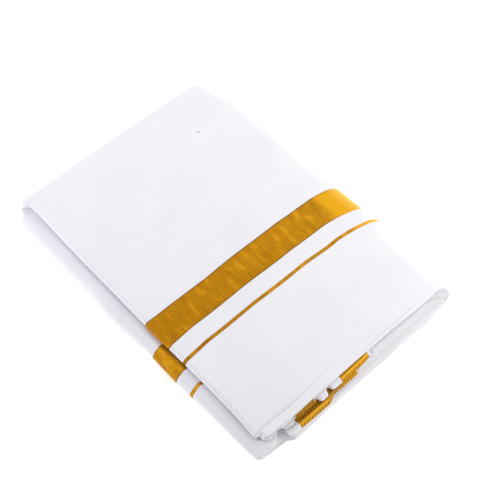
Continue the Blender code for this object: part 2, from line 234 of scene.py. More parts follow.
def settle(x, y, z):
    """Carries points of the square pack to where the settled cloth has them, in metres."""
    upper = ramp(z, *PACKET_STEP)
    free_shift = between(LOWER_EDGE, x) * (1 - upper) + between(UPPER_EDGE, x) * upper
    book_shift = between(BOOK_EDGE, x) - BOOK_FOLD_Y - BOOK_FOLD_REACH
    new_y = y + ramp(y, *BOOK_SPREAD) * book_shift + (1 - ramp(y, *FREE_SPREAD)) * free_shift
    swell = SWELL[0] * np.sin(x / SWELL[1] + 0.7) * np.sin(y / SWELL[2] - 0.4)
    swell = swell + SLANT_SWELL[0] * np.sin(x / SLANT_SWELL[1] - y / SLANT_SWELL[2])
    ends = END_SINK[0] * (1 - ramp(x, 0, 26)) + END_SINK[1] * ramp(x, 352, 376)
    sunk = between(TOP_SINK, y) * (0.3 + 0.7 * ramp(x, 0, 110)) + ends - swell * ramp(y, 5, 40)
    sunk = sunk + CORNER_DROOP * ramp(x, 300, 380) * (1 - ramp(y, -5, 75))
    near_free = 1 - ramp(y, 2, 14)
    new_y = new_y + FREE_STEP * upper * near_free * ramp(x, FLAP_END + 0.6, FLAP_END + 1.8)
    new_y = new_y - CORNER_FILL * near_free * (1 - ramp(x, 1, 9)) * bell(z, SPLIT_MIDDLE, 2.8)
    closed = CORNER_CLOSE * near_free * (1 - ramp(x, 4, 14)) * bell(z, SPLIT_MIDDLE, 2.5)
    z = z - (z - SPLIT_MIDDLE) * closed
    pull = CORNER_PULL * upper * ramp(x, 340, 372) * (1 - ramp(y, 12, 50))
    trim = CORNER_TRIM * upper * ramp(x, 365.8, 374) * (1 - ramp(y, 0, 9))
    x = x - pull - trim
    waver = WAVER[0] * np.sin(y / WAVER[1] + 1) * within(x, 150, 205, 270, 330)
    z = z - sunk * ramp(z, *SINK_STEP)
    return np.stack([(x + waver - CENTRE_X) * MM, (new_y - CENTRE_Y) * MM, z * MM], -1)


def relief(creases, x, r):
    """How far soft ridges and troughs lift the cloth. Each fades out at its two ends and to its sides."""
    total = np.zeros(np.broadcast(x, r).shape)
    for x0, r0, x1, r1, rise, width in creases:
        run_x, run_r = x1 - x0, r1 - r0
        length = math.hypot(run_x, run_r)
        share = ((x - x0) * run_x + (r - r0) * run_r) / length ** 2
        bow = 0.04 * length * np.sin(share * math.pi)
        off = ((x - x0) * run_r - (r - r0) * run_x) / length + bow
        total += rise * within(share, -0.2, 0.25, 0.7, 1.2) * bell(off, 0, width)
    return total


class Section:
    """A path across the pack, as columns with one row a point.

    They hold y, z, the outward direction ny, nz, the way s along the cloth, and each point's run.
    """

    def __init__(self):
        self.parts = []

    def line(self, run, y_from, y_to, z, up, step):
        count = max(2, round(abs(y_to - y_from) / step))
        y = np.linspace(y_from, y_to, count, endpoint=False)
        self.parts.append((run, y, np.full(count, z), np.zeros(count), np.full(count, float(up))))
        return self

    def turn(self, run, y, z, reach, height, start, end, count, outward=1):
        a = np.radians(np.linspace(start, end, count, endpoint=False))
        ny, nz = np.cos(a) / max(reach, 0.01), np.sin(a) / max(height, 0.01)
        size = np.hypot(ny, nz) * outward
        self.parts.append((run, y + reach * np.cos(a), z + height * np.sin(a), ny / size, nz / size))
        return self

    def close(self):
        """Joins the runs into columns of points, ready for a grid."""
        self.run = np.concatenate([[run] * len(y) for run, y, *_ in self.parts])[:, None]
        columns = [np.concatenate([part[k] for part in self.parts])[:, None] for k in (1, 2, 3, 4)]
        self.y, self.z, self.ny, self.nz = columns
        steps = np.hypot(np.diff(self.y[:, 0]), np.diff(self.z[:, 0]))
        self.s = np.concatenate([[0], np.cumsum(steps)])[:, None]
        last = math.hypot(self.y[-1, 0] - self.y[0, 0], self.z[-1, 0] - self.z[0, 0])
        self.length = self.s[-1, 0] + last
        self.top_r = self.counted_from("top", UPPER_R)
        self.lower_top_r = self.counted_from("lower top", LOWER_Y)
        return self

    def counted_from(self, run, lead):
        """The way along the path, counted so that the run starts at lead."""
        start = self.s[self.run == run]
        return self.s - (start[0] if len(start) else 0) + lead

    def only(self, keep):
        """The same path, cut down to the rows where keep holds."""
        part = Section()
        for name in ("run", "y", "z", "ny", "nz", "s", "top_r", "lower_top_r"):
            setattr(part, name, getattr(self, name)[keep])
        part.length = part.s[-1, 0] - part.s[0, 0]
        return part


def ring_section(fine, coarse, far):
    """Round both packets: in the split, over the upper one, the book fold, the foot, the lower one, and back.

    Between the packets its steps are fine up to y = far, and coarse from there on.
    """
    tall = PACK_TOP / 2
    path = Section()
    path.line("split", SPLIT_END_Y, far, PACKET_SPLIT_HIGH, -1, coarse)
    path.line("split", far, UPPER_R, PACKET_SPLIT_HIGH, -1, fine)
    path.turn("upper fold", UPPER_R, UPPER_Z, UPPER_R, UPPER_R, 270, 90, 16)
    path.line("top", UPPER_R, BOOK_FOLD_Y, PACK_TOP, 1, fine)
    path.turn("book fold", BOOK_FOLD_Y, tall, BOOK_FOLD_REACH, tall, 90, -90, 28)
    path.line("foot", BOOK_FOLD_Y, LOWER_Y, 0, -1, coarse)
    path.turn("lower fold", LOWER_Y, LOWER_R, LOWER_R, LOWER_R, 270, 90, 20)
    path.line("lower top", LOWER_Y, far, PACKET_SPLIT_LOW, 1, fine)
    path.line("lower top", far, SPLIT_END_Y, PACKET_SPLIT_LOW, 1, coarse)
    path.turn("split end", SPLIT_END_Y, SPLIT_MIDDLE, SPLIT_RADIUS, SPLIT_RADIUS, -90, 90, 8, outward=-1)
    return path.close()


def oval_section(inset, step):
    """A ply's way round inside the lower packet, flat on both sides, that far in from the packet's face."""
    half = LOWER_R - inset
    path = Section()
    path.line("top", LOWER_Y, OVAL_END_Y, LOWER_R + half, 1, step)
    path.turn("book fold", OVAL_END_Y, LOWER_R, half * 0.9 + OVAL_REACH, half, 90, -90, 14)
    path.line("foot", OVAL_END_Y, LOWER_Y, LOWER_R - half, -1, step)
    path.turn("lower fold", LOWER_Y, LOWER_R, half, half, 270, 90, 10)
    return path.close()


def beneath(path):
    """1 where a path runs on the lower packet, fading out along the foot towards the book fold."""
    share = np.where(path.run == "foot", 1 - ramp(path.y, 20, BOOK_FOLD_Y), 0.0)
    return np.where(np.isin(path.run, ["lower fold", "lower top"]), 1.0, share)


def stray(path, x):
    """How far the flap lies askew, towards the open end: free edge, stripes and folded-over end."""
    under = beneath(path)
    shifts = []
    for column, beneath_shift in enumerate(UNDER_STRAY, start=1):
        over = between([(row[0], row[column]) for row in STRAY], path.top_r)
        shifts.append(over + under * (beneath_shift - over))
    free_edge, band, thin_line = shifts
    line = (LINE_START + LINE_END) / 2
    shift = free_edge + (band - free_edge) * ramp(x, FLAP_START, BAND_END)
    shift = shift + (thin_line - band) * ramp(x, BAND_END, line)
    end = UNDER_END_STRAY * under * np.where(path.run == "lower top", 1 - ramp(path.y, -3, 5), 1.0)
    return shift + (end - shift) * ramp(x, line + 12, FLAP_END - 1)


def lay(path, x, inset, raised=0.0):
    """Points, in metres, of a ply at x that lies inset in from the pack's face, and is lifted by raised."""
    pressed = np.clip(1 - (inset - WRAP_INSET) / (MIDDLE_INSET - WRAP_INSET), 0, 1)
    packed = np.where(inset < WRAP_INSET, inset, inset + FOLD_SINK * ramp(x, 330, 350) * pressed)
    on_upper = np.isin(path.run, ["upper fold", "top", "book fold"])
    lift = np.where(on_upper, relief(UPPER_CREASES, x, path.top_r), 0.0)
    rise, puff_y, reach = PUFF
    puff = rise * bell(path.y, puff_y, reach) * within(x, 0, 120, 364, 380)
    on_lower = np.isin(path.run, ["lower fold", "lower top"])
    lift = np.where(on_lower, relief(LOWER_CREASES, x, path.lower_top_r) + puff, lift)
    narrow, wide = GROOVE_WIDTHS
    groove = between(GROOVE_DEPTH, path.top_r) * (path.run == "top")
    lift = lift - groove * bell(x, GROOVE_X, narrow + (wide - narrow) * ramp(path.top_r, 60, 110))
    out = lift * ramp(path.z, 0.5, 6) * np.clip(1 - packed / 9, 0, 1) - packed + raised
    return settle(x + 0 * path.y, path.y + path.ny * out, path.z + path.nz * out)


def wave(path, seed, amount):
    """How far a ply's end strays along it: uneven, and different for each ply."""
    s = path.s + 131.7 * seed
    slow, middling = 0.5 * np.sin(s / 37 + seed), 0.3 * np.sin(s / 17.3 + 2.1 * seed)
    return amount * (slow + middling + 0.2 * np.sin(s / 7.9 + 4 * seed))


def past_folds(y):
    """1 past the border folds, where the two packets lie close together, 0 by them and at the book fold."""
    return within(y, 142, 149, 234, 241)


def open_end(y, z):
    """Where the hidden plies end, set back behind the border folds and in a pocket by the free corner."""
    reach = between(OPEN_END, z) + BOOK_BULGE * ramp(y, 226, 246) * within(z, 6, 12, 15, 24)
    corner = (1 - ramp(y, 23, 29)) * (1 - ramp(z, 9, 13))
    reach = reach - corner * np.maximum(0, reach - CORNER_END + 1.6)
    low, middle, high = BORDER_FOLDS_Z
    low_end, high_end = BORDER_FOLDS_END
    last = low_end + (high_end - low_end) * ramp(z, middle - 0.8, middle)
    low = low + 3.2 * ramp(y, 80, 88)
    behind = within(z, low - 0.9, low - 0.1, high, high + 0.7)
    behind = behind * within(y, BORDER_FOLDS_START - 3.5, BORDER_FOLDS_START, last - 3, last + 3)
    root = BORDER_FOLDS_ROOT + 4.2 * (1 - ramp(y, 36, 39)) * ramp(z, 15.5, 16.5)
    reach = reach - behind * np.maximum(0, reach - root)
    over = ramp(z, 21.6, 22.4) * within(y, 24, 30, 141, 146)
    reach = reach - over * np.maximum(0, reach - OVER_FOLDS_END)
    upper_end = UPPER_END + 0.12 * (z - PACKET_SPLIT_HIGH)
    reach = reach + past_folds(y) * ramp(z, 21.6, 21.9) * (upper_end - reach)
    pocket_y, pocket_z, depth = POCKET
    to_corner, away, tall = POCKET_REACH
    across = (y - pocket_y) / np.where(y < pocket_y, to_corner, away)
    return reach - depth * np.exp(-(across ** 2 + ((z - pocket_z) / tall) ** 2) ** 1.6)


def wrap_ends(path):
    """The wrap's closed and open end at each row of its path."""
    start = between(CLOSED_EDGE, path.y)
    foot_start = FOOT_START + (FOOT_CORNER_START - FOOT_START) * (1 - ramp(path.y, 10, 80))
    start = np.where(path.run == "foot", foot_start, start)
    inner = np.isin(path.run, ["lower fold", "lower top", "split", "split end"])
    start = np.where(inner, INNER_START * ramp(path.y, 4, 16), start)
    book = PACK_END + (FOOT_EDGE[-1][1] - PACK_END) * ramp(PACK_TOP - path.z, 3, 25)
    for z, depth in CORNER_NOTCHES:
        book = book - depth * bell(path.z, z, NOTCH_HALF)
    end = np.where(path.run == "book fold", book, PACK_END)
    end = np.where(path.run == "foot", between(FOOT_EDGE, path.y), end)
    end = np.where(path.run == "lower fold", CORNER_END, end)
    inside = np.isin(path.run, ["split", "split end", "lower top"])
    covers = (path.run == "lower top") * (0.9 - 1.0 * past_folds(path.y))
    end = np.where(inside, open_end(path.y, path.z + CLOTH * path.nz) + covers, end)
    return start + wave(path, 1, 0.5), end + wave(path, 2, 0.5)


def add_object(name, data):
    made = bpy.data.objects.new(name, data)
    bpy.context.scene.collection.objects.link(made)
    return made


def surface(name, points, u, v, materials, slot_of_column=None, round_rows=False, round_columns=False):
    """A mesh through a grid of points. u and v, in mm, are their places in the flat cloth, and its UV map."""
    rows, columns = points.shape[:2]
    row_count, column_count = rows - 1 + round_rows, columns - 1 + round_columns
    i, j = np.meshgrid(np.arange(row_count), np.arange(column_count), indexing="ij")
    i, j = i.ravel(), j.ravel()
    corners = [(i, j), (i, j + 1), (i + 1, j + 1), (i + 1, j)]
    faces = np.stack([(a % rows) * columns + b % columns for a, b in corners], 1)
    mesh = bpy.data.meshes.new(name)
    mesh.from_pydata(points.reshape(-1, 3).tolist(), [], faces.tolist())
    threads = np.stack(np.broadcast_arrays(u, v), -1) * MM
    places = np.stack([threads[a, b] for a, b in corners], 1)
    mesh.uv_layers.new(name="Threads").uv.foreach_set("vector", places.astype(np.float32).ravel())
    mesh.shade_smooth()
    for material in materials:
        mesh.materials.append(material)
    if slot_of_column is not None:
        mesh.polygons.foreach_set("material_index", np.array(slot_of_column, np.int32)[j])
    return add_object(name, mesh)


def close_ends(piece):
    """Fills the open ends of a tube."""
    net = bmesh.new()
    net.from_mesh(piece.data)
    bmesh.ops.holes_fill(net, edges=[edge for edge in net.edges if edge.is_boundary])
    net.to_mesh(piece.data)
    net.free()


def cloth_wall(piece, thickness=CLOTH):
    """Gives an open sheet the thickness of one ply, on its inner side."""
    wall = piece.modifiers.new("Ply", "SOLIDIFY")
    wall.thickness = thickness * MM
    wall.offset = -1
    wall.use_even_offset = False


def lip(radius, steps=6):
    """A half turn of cloth at a fold: how far it draws back from the fold, and how deep it lies."""
    turns = [math.pi * k / steps for k in range(steps + 1)]
    return [(radius * (1 - math.sin(a)), radius * (1 - math.cos(a))) for a in turns]


def run_length(across, deep):
    """How far along each row of a grid its points lie."""
    steps = np.hypot(np.diff(across, axis=1), np.diff(deep, axis=1))
    return np.concatenate([np.zeros_like(across[:, :1]), np.cumsum(steps, 1)], 1)


def station_grid(path, stations):
    """x for each row and station, and how deep each station lies."""
    x = np.concatenate([np.broadcast_to(place, path.y.shape) for place, _ in stations], 1)
    return x, np.array([deep for _, deep in stations])[None, :]


# ---- materials ----

class Nodes:
    """Short calls for a material's node tree. A socket goes in wherever a number does."""

    def __init__(self, name):
        self.material = bpy.data.materials.new(name)
        self.material.use_nodes = True
        self.tree = self.material.node_tree
        self.shader = self.tree.nodes["Principled BSDF"]

    def put(self, socket, value):
        if isinstance(value, bpy.types.NodeSocket):
            self.tree.links.new(value, socket)
        else:
            socket.default_value = value

    def finish(self, values):
        """Sets the shader's sockets, each by its name."""
        for name, value in values.items():
            self.put(self.shader.inputs[name], value)

    def math(self, operation, *inputs, clamp=False):
        node = self.tree.nodes.new("ShaderNodeMath")
        node.operation = operation
        node.use_clamp = clamp
        for socket, value in zip(node.inputs, inputs):
            self.put(socket, value)
        return node.outputs[0]

    def times(self, a, b, clamp=False):
        return self.math("MULTIPLY", a, b, clamp=clamp)

    def plus(self, a, b, clamp=False):
        return self.math("ADD", a, b, clamp=clamp)

    def minus(self, a, b):
        return self.math("SUBTRACT", a, b)

    def scaled(self, value, scale, offset, clamp=False):
        """value times scale, plus offset."""
        return self.math("MULTIPLY_ADD", value, scale, offset, clamp=clamp)

    def wave(self, value, length):
        """A sine that passes 0 every so many mm of value."""
        return self.math("SINE", self.times(value, math.pi / length))

    def mix(self, share, low, high):
        node = self.tree.nodes.new("ShaderNodeMix")
        node.data_type = "RGBA"
        for name, value in (("Factor_Float", share), ("A_Color", low), ("B_Color", high)):
            self.put(next(s for s in node.inputs if s.identifier == name), value)
        return next(s for s in node.outputs if s.identifier == "Result_Color")

    def step(self, value, low, high, start=0.0, end=1.0):
        """A smooth step from start, where value is low, to end, where it is high."""
        node = self.tree.nodes.new("ShaderNodeMapRange")
        node.interpolation_type = "SMOOTHSTEP"
        for socket, number in zip(node.inputs, (value, low, high, start, end)):
            self.put(socket, number)
        return node.outputs[0]

    def within(self, value, start, full, fading, end):
        """A smooth step up from start to full, and one down from fading to end."""
        return self.times(self.step(value, start, full), self.step(value, fading, end, 1.0, 0.0))

    def threads(self):
        """The place in the flat cloth, in mm: across the cloth's width, and along it."""
        uv = self.tree.nodes.new("ShaderNodeUVMap")
        uv.uv_map = "Threads"
        node = self.tree.nodes.new("ShaderNodeSeparateXYZ")
        self.tree.links.new(uv.outputs[0], node.inputs[0])
        return self.times(node.outputs[0], 1 / MM), self.times(node.outputs[1], 1 / MM)

    def noise(self, u, v, size_u, size_v, detail=2.0):
        """Smooth noise with spots of that size in mm each way."""
        place = self.tree.nodes.new("ShaderNodeCombineXYZ")
        self.put(place.inputs[0], self.math("DIVIDE", u, size_u))
        self.put(place.inputs[1], self.math("DIVIDE", v, size_v))
        node = self.tree.nodes.new("ShaderNodeTexNoise")
        self.tree.links.new(place.outputs[0], node.inputs["Vector"])
        node.inputs["Scale"].default_value = 1.0
        node.inputs["Detail"].default_value = detail
        return node.outputs[0]

    def weave(self, u, v, pitch):
        """Height of a plain weave, 0 to 1: over and under by turns both ways."""
        return self.scaled(self.times(self.wave(u, pitch), self.wave(v, pitch)), 0.5, 0.5)

    def bump(self, height, depth):
        """Raises the surface by height times depth, in mm."""
        node = self.tree.nodes.new("ShaderNodeBump")
        node.inputs["Strength"].default_value = 1.0
        node.inputs["Distance"].default_value = depth * MM
        self.tree.links.new(height, node.inputs["Height"])
        self.tree.links.new(node.outputs[0], self.shader.inputs["Normal"])


# Cotton. Sizes are in mm.
COTTON = (0.792, 0.784, 0.812, 1)
COTTON_SHADE = (0.758, 0.749, 0.780, 1)
INNER_TINT = 0.985  # how much of that brightness the inner plies keep
THREAD_PITCH = 0.42
SLUB = (16.0, 0.7)  # a thick stretch of yarn: length, width
CLOUD = (46.0, 60.0)  # a faint patch of colour: across the cloth, along it
YARN_DEPTH = 0.055
FLECK = (56.0, 195.6)  # a grey fleck on the top: x, y
FLECK_SIZE = (1.7, 1.3)
FLECK_GREY = (0.43, 0.43, 0.45, 1)

# Gold thread
GOLD = (0.47, 0.182, 0.003, 1)
# colour of the painted sheen and highlight, and of the brighter random patches
GOLD_SHEEN_AND_BRIGHT = (0.78, 0.39, 0.012, 1)
# colour of the painted glints on the rows
GOLD_GLINT = (0.92, 0.46, 0.008, 1)
GOLD_PALE_HIGHLIGHT = (0.97, 0.57, 0.085, 1)
# colour of the dark random patches, and of the painted shade in the grooves and the painted contact shadow
GOLD_DARK_AND_SHADE = (0.15, 0.05, 0.003, 1)
# colour of the stripes' darker rims, and of the painted shadow under the upper packet
GOLD_RIM_AND_SHADOW = (0.24, 0.12, 0.02, 1)
BORDER_GOLD = (0.56, 0.25, 0.016, 1)
# colour of the painted highlight on the border folds' flat tops, and of their mottle
BORDER_MOTTLE_AND_HIGHLIGHT = (0.84, 0.44, 0.03, 1)
DULL_GOLD = (0.34, 0.18, 0.06, 1)
# colour of the painted shadow on the upper border fold, under the upper packet's lip
SHADOWED_GOLD = (0.30, 0.14, 0.02, 1)
TWIST = 0.62  # pitch of the thread's twist
STRIPE_DEPTH = 0.15  # of the grooves between the selvedge stripes' rows
BORDER_DEPTH = 0.14  # and between the end border's ribs
RIB_PITCH = 2.1  # between the rows
STITCH_PITCH = 1.5  # between the stitches of a row
BORDER_RIB = 3.6  # between the ribs of the end border
BORDER_RIB_SHAPE = 0.6  # a rib's height is a half sine to this power
FLAT_RISE = 0.8  # over this much a ribbed stretch turns flat
FLAT_FALL = 1.2  # and over this much it is ribbed again
ROW_DRIFT = (30, 9)  # the rows drift in patches of this size
DRIFT = 1.4  # by up to so much
JITTER_PATCH = (5, 1.6)  # the stitches are out of step in patches of this size
JITTER = 11.0  # by up to so many radians
GOLD_PATCH = (24, 8)  # stretches where the rows lie flat, or the gold is brighter or duller

# Places along the selvedge stripes. v is the way round the pack, and a pair is a smooth step's start and end.
HIGHLIGHT_TURN = (222, 300)  # between these, round the book fold, a painted highlight: the rows are washed out and the gold is painted bright
SHEEN_RISE = (60, 225)  # painted sheen: the gold is painted brighter towards the book fold
PALE_HIGHLIGHT = (236, 258)  # painted highlight: the gold is painted pale on the fold's outside
SHADOW_FROM = (574.0, 578.5)  # painted shadow: the gold is painted darker from the lower fold in under the upper packet, where that packet shades it
FREE_FOLD = (1.0, 7.0)  # the rows show less round the upper free fold
UNDERSIDE = (300, 310)  # and from the underside on


def cotton(name, fleck=False, tint=1.0):
    """White cotton: plain weave with slubs, faint clouds in its colour, and a soft nap."""
    n = Nodes(name)
    u, v = n.threads()
    slubs = n.times(n.plus(n.noise(u, v, *SLUB), n.noise(u, v, *SLUB[::-1])), 0.5)
    share = n.scaled(slubs, 0.5, n.times(n.noise(u, v, *CLOUD, detail=3.0), 0.5))
    low = tuple(c * tint for c in COTTON_SHADE[:3]) + (1,)
    high = tuple(c * tint for c in COTTON[:3]) + (1,)
    colour = n.mix(n.step(share, 0.3, 0.62), low, high)
    if fleck:
        off_u = n.math("DIVIDE", n.minus(u, FLECK[0]), FLECK_SIZE[0])
        off_v = n.math("DIVIDE", n.minus(v, FLECK[1]), FLECK_SIZE[1])
        away = n.plus(n.times(off_u, off_u), n.times(off_v, off_v))
        colour = n.mix(n.step(away, 0.35, 1.5, 0.9, 0.0), colour, FLECK_GREY)
    n.finish({"Base Color": colour, "Roughness": 0.82, "Specular IOR Level": 0.25, "Sheen Weight": 0.12,
              "Sheen Roughness": 0.45})
    n.bump(n.plus(n.times(n.weave(u, v, THREAD_PITCH), 0.35), slubs), YARN_DEPTH)
    return n.material


def gold_shader(n, u, v, colour, height, depth):
    """The finish that all the gold thread shares: a dull metal, with its twist in the gloss."""
    roughness = n.step(n.weave(u, v, TWIST), 0.0, 1.0, 0.45, 0.62)
    n.finish({"Base Color": colour, "Metallic": 0.4, "Specular IOR Level": 0.04, "Roughness": roughness})
    n.bump(height, depth)
    return n.material


def woven_gold(name, start, end, rows, rim_width):
    """A stripe of gold zari from u = start to end: rows of small stitches across it, between darker rims.

    rows is how much the stitches show. The rows carry painted glints, with painted shade in the grooves
    between them.
    Round the book fold a painted highlight washes them out and paints the gold bright and pale, and in some
    patches they lie partly flat. The gold is painted brighter towards the book fold, a painted sheen, and
    darker in under the upper packet, a painted shadow.
    """
    n = Nodes(name)
    u, v = n.threads()
    drift = n.times(n.noise(u, v, *ROW_DRIFT), DRIFT)
    row = n.math("ABSOLUTE", n.wave(n.plus(v, drift), RIB_PITCH))
    jitter = n.times(n.noise(u, v, *JITTER_PATCH), JITTER)
    stitch = n.math("SINE", n.plus(n.times(u, 2 * math.pi / STITCH_PITCH), jitter))
    patches = n.noise(u, v, *GOLD_PATCH, detail=3.0)
    # painted highlight round the book fold: there the rows are washed out, the rims fade and the gold is
    # painted bright and pale
    in_highlight = n.within(v, HIGHLIGHT_TURN[0] - 6, HIGHLIGHT_TURN[0] + 10, HIGHLIGHT_TURN[1] - 4, HIGHLIGHT_TURN[1])

    shows = n.times(n.step(patches, 0.52, 0.64, 1.0, 0.3), n.scaled(in_highlight, -0.94, 1.0))
    shows = n.times(shows, n.times(n.step(v, *FREE_FOLD, 0.35, 1.0), n.step(v, *UNDERSIDE, 1.0, 0.4)))
    shows = n.times(shows, rows)
    # painted shade in the grooves between the rows, broken by the stitches
    groove = n.times(n.minus(1.0, n.math("POWER", row, 0.8)), shows)
    dots = n.times(groove, n.step(stitch, -0.6, 0.7, 0.4, 1.0))
    # painted glints: bright dots on the tops of the rows
    glints = n.times(n.times(n.math("POWER", row, 3.0), shows), n.step(stitch, 0.1, -0.8, 0.15, 1.0))

    # painted highlight round the book fold and painted sheen rising towards it, plus brighter random patches
    bright = n.scaled(in_highlight, 0.85, n.step(v, *SHEEN_RISE, 0.0, 0.26))
    bright = n.plus(bright, n.step(patches, 0.52, 0.66, 0.0, 0.38), clamp=True)
    mottle_and_highlight = n.scaled(n.noise(u, v, 2.4, 2.0), 0.45, n.minus(bright, 0.16), clamp=True)
    colour = n.mix(mottle_and_highlight, GOLD, GOLD_SHEEN_AND_BRIGHT)
    # painted highlight: pale gold on the outside of the book fold
    colour = n.mix(n.times(n.step(v, *PALE_HIGHLIGHT, 0.0, 0.9), in_highlight), colour, GOLD_PALE_HIGHLIGHT)
    dull = n.times(n.step(patches, 0.34, 0.5, 0.36, 0.0), n.minus(1.0, in_highlight))
    colour = n.mix(dull, colour, GOLD_DARK_AND_SHADE)
    colour = n.mix(glints, colour, GOLD_GLINT)
    colour = n.mix(n.times(dots, 1.35, clamp=True), colour, GOLD_DARK_AND_SHADE)
    from_rim = n.math("MINIMUM", n.minus(u, start), n.minus(end, u))
    # the rims are washed out too under the painted highlight round the book fold
    rim = n.times(n.step(from_rim, 0.3 * rim_width, rim_width, 0.72, 0.0), n.scaled(in_highlight, -0.7, 1.0))
    colour = n.mix(rim, colour, GOLD_RIM_AND_SHADOW)
    # painted shadow in under the upper packet
    colour = n.mix(n.step(v, *SHADOW_FROM, 0.0, 0.6), colour, GOLD_RIM_AND_SHADOW)
    height = n.scaled(dots, -1.0, n.times(n.weave(u, v, TWIST), 0.25))
    return gold_shader(n, u, v, colour, height, STRIPE_DEPTH)


def ribbed_gold(name, smooth, darkened, darkened_to):
    """The gold of the end border: thick ribs across it, dark between them, with painted shade in the grooves.

    smooth is a pair of places in u, and the ribs lie flat between them, where the gold is also painted
    brighter:
    a painted highlight on the fold's top. Between the pair of places in v that darkened holds, the gold is
    mixed part way to darkened_to.
    """
    n = Nodes(name)
    u, v = n.threads()
    rib = n.math("POWER", n.math("ABSOLUTE", n.wave(v, BORDER_RIB)), BORDER_RIB_SHAPE)
    flat = n.within(u, smooth[0] - FLAT_RISE, smooth[0], smooth[1], smooth[1] + FLAT_FALL)
    # painted shade in the grooves between the ribs
    groove = n.times(n.minus(1.0, rib), n.scaled(flat, -0.85, 1.0))
    # painted highlight: the flat top of the fold is painted brighter
    mottle_and_highlight = n.scaled(flat, 0.3, n.noise(u, v, 1.6, 2.6), clamp=True)
    # painted contact shadow: a dark line where the fold comes out from under the cloth above it
    contact_shadow = n.within(u, smooth[0] - 1.6, smooth[0] - 0.8, smooth[0] - 0.6, smooth[0] + 0.1)
    dark = n.math("MAXIMUM", n.times(groove, 1.1, clamp=True), n.times(contact_shadow, 0.6))
    colour = n.mix(dark, n.mix(mottle_and_highlight, BORDER_GOLD, BORDER_MOTTLE_AND_HIGHLIGHT), GOLD_DARK_AND_SHADE)
    # the gold mixed part way to its darker colour, on the upper fold a painted shadow
    darkening = n.times(n.within(v, darkened[0] - 2, darkened[0], darkened[1], darkened[1] + 3), 0.55)
    colour = n.mix(darkening, colour, darkened_to)
    height = n.scaled(groove, -1.0, n.times(n.weave(u, v, TWIST), 0.3))
    return gold_shader(n, u, v, colour, height, BORDER_DEPTH)


# ---- pieces ----

def finish_piece(piece, nodes):
    """Rides the piece on the pack and the cut of the cloth that it shows."""
    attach(piece, "root")
    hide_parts(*nodes)


def flap_edge(path, x, share):
    """How much higher the wrap lies past the flap's folded-over end, nearly level with it.

    share is 1 on the wrap's face, and falls to 0 on what is folded under.
    """
    crisp = 1 - ramp(path.top_r, 30, 100)
    past_end = ramp(x, FLAP_END - 1.1 + 0.5 * crisp, FLAP_END + 0.1 + 0.8 * crisp)
    level = (WRAP_INSET + FOLD_SINK - 0.1) * past_end
    return level * np.clip(share, 0, 1) * np.isin(path.run, ["split", "upper fold", "top", "book fold"])


def tuck(path, x):
    """The edge of a ply that shows near the open end of the upper packet: a fine groove, and a step down."""
    edge = between(TUCK_EDGE, path.top_r)
    shown = within(path.top_r, 120, 150, 222, 238) * (path.run == "top")
    step = within(x, edge - 0.2, edge + 0.6, PACK_END - 2.5, PACK_END - 0.5)
    return shown * (TUCK_STEP * step + TUCK_DEPTH * bell(x, edge, TUCK_HALF))


def make_wrap():
    """The outer ply, right round both packets. At both ends it is folded over and runs back inside."""
    path = ring_section(*WRAP_STEPS)
    start, end = wrap_ends(path)
    edge = lip(WRAP_LIP)
    lap = FLAP_LAP * (1 - 0.4 * ramp(path.z, 20, 24))
    stations = [(start + lap, 2 * WRAP_LIP), *[(start + back, deep) for back, deep in reversed(edge)]]
    first_open = len(stations)
    for share in np.concatenate([np.arange(*columns) for columns in WRAP_COLUMNS]):
        stations.append((start + WRAP_LIP + share * (end - start - 2 * WRAP_LIP), 0.0))
    stations += [*[(end - back, deep) for back, deep in edge], (end - lap, 2 * WRAP_LIP)]
    x, deep = station_grid(path, stations)
    inset = WRAP_INSET * ramp(x, 150, FLAP_START) + deep + tuck(path, x)
    points = lay(path, x, inset, flap_edge(path, x, 1 - deep / (2 * WRAP_LIP)))
    u = run_length(x, deep)
    # On the wrap's face u counts from the closed end, as x does
    u = u - u[:, [first_open]] + x[:, [first_open]]
    piece = surface("wrap_cloth", points, u, path.top_r, [cotton("white_cotton", fleck=True)])
    cloth_wall(piece)
    finish_piece(piece, ["outer_wrap"])


def flap_columns():
    """x of the flap's open face, with a column at each stripe's edge and none close beside it."""
    stripes = (BAND_END, LINE_START, LINE_END)
    columns = np.unique(np.concatenate([*[np.arange(*even) for even in FLAP_COLUMNS], stripes]))
    wide = np.diff(columns, prepend=-1.0) > 0.2
    return [x for x, apart in zip(columns, wide) if apart or x in stripes]


def make_flap():
    """The selvedge flap, with the gold band and line in its weave, folded over near the open end."""
    ring = ring_section(*FLAP_STEPS)
    deep_in = np.isin(ring.run, ["split", "lower top"]) & (ring.y > FLAP_DEPTH)
    path = ring.only(~(deep_in | (ring.run == "split end"))[:, 0])
    edge = lip(FLAP_LIP)
    face = flap_columns()
    x = np.array([[*face, *[FLAP_END - back for back, _ in edge], FLAP_END - FLAP_LAP]])
    deep = np.array([[*[0.0] * len(face), *[d for _, d in edge], 2 * FLAP_LIP]])
    points = lay(path, x + stray(path, x), deep)
    in_band = x[0, :-1] < BAND_END - 0.1
    in_line = (x[0, :-1] > LINE_START - 0.1) & (x[0, :-1] < LINE_END - 0.1)
    slots = in_band * 1 + in_line * 2
    materials = [cotton("flap_cotton"), woven_gold("zari_band", 0, BAND_END - FLAP_START, 1.0, 2.0),
                 woven_gold("zari_line", LINE_START - FLAP_START, LINE_END - FLAP_START, 0.25, 0.9)]
    piece = surface("flap_cloth", points, run_length(x, deep), path.top_r, materials, slot_of_column=slots)
    cloth_wall(piece)
    finish_piece(piece, ["border_flap"])


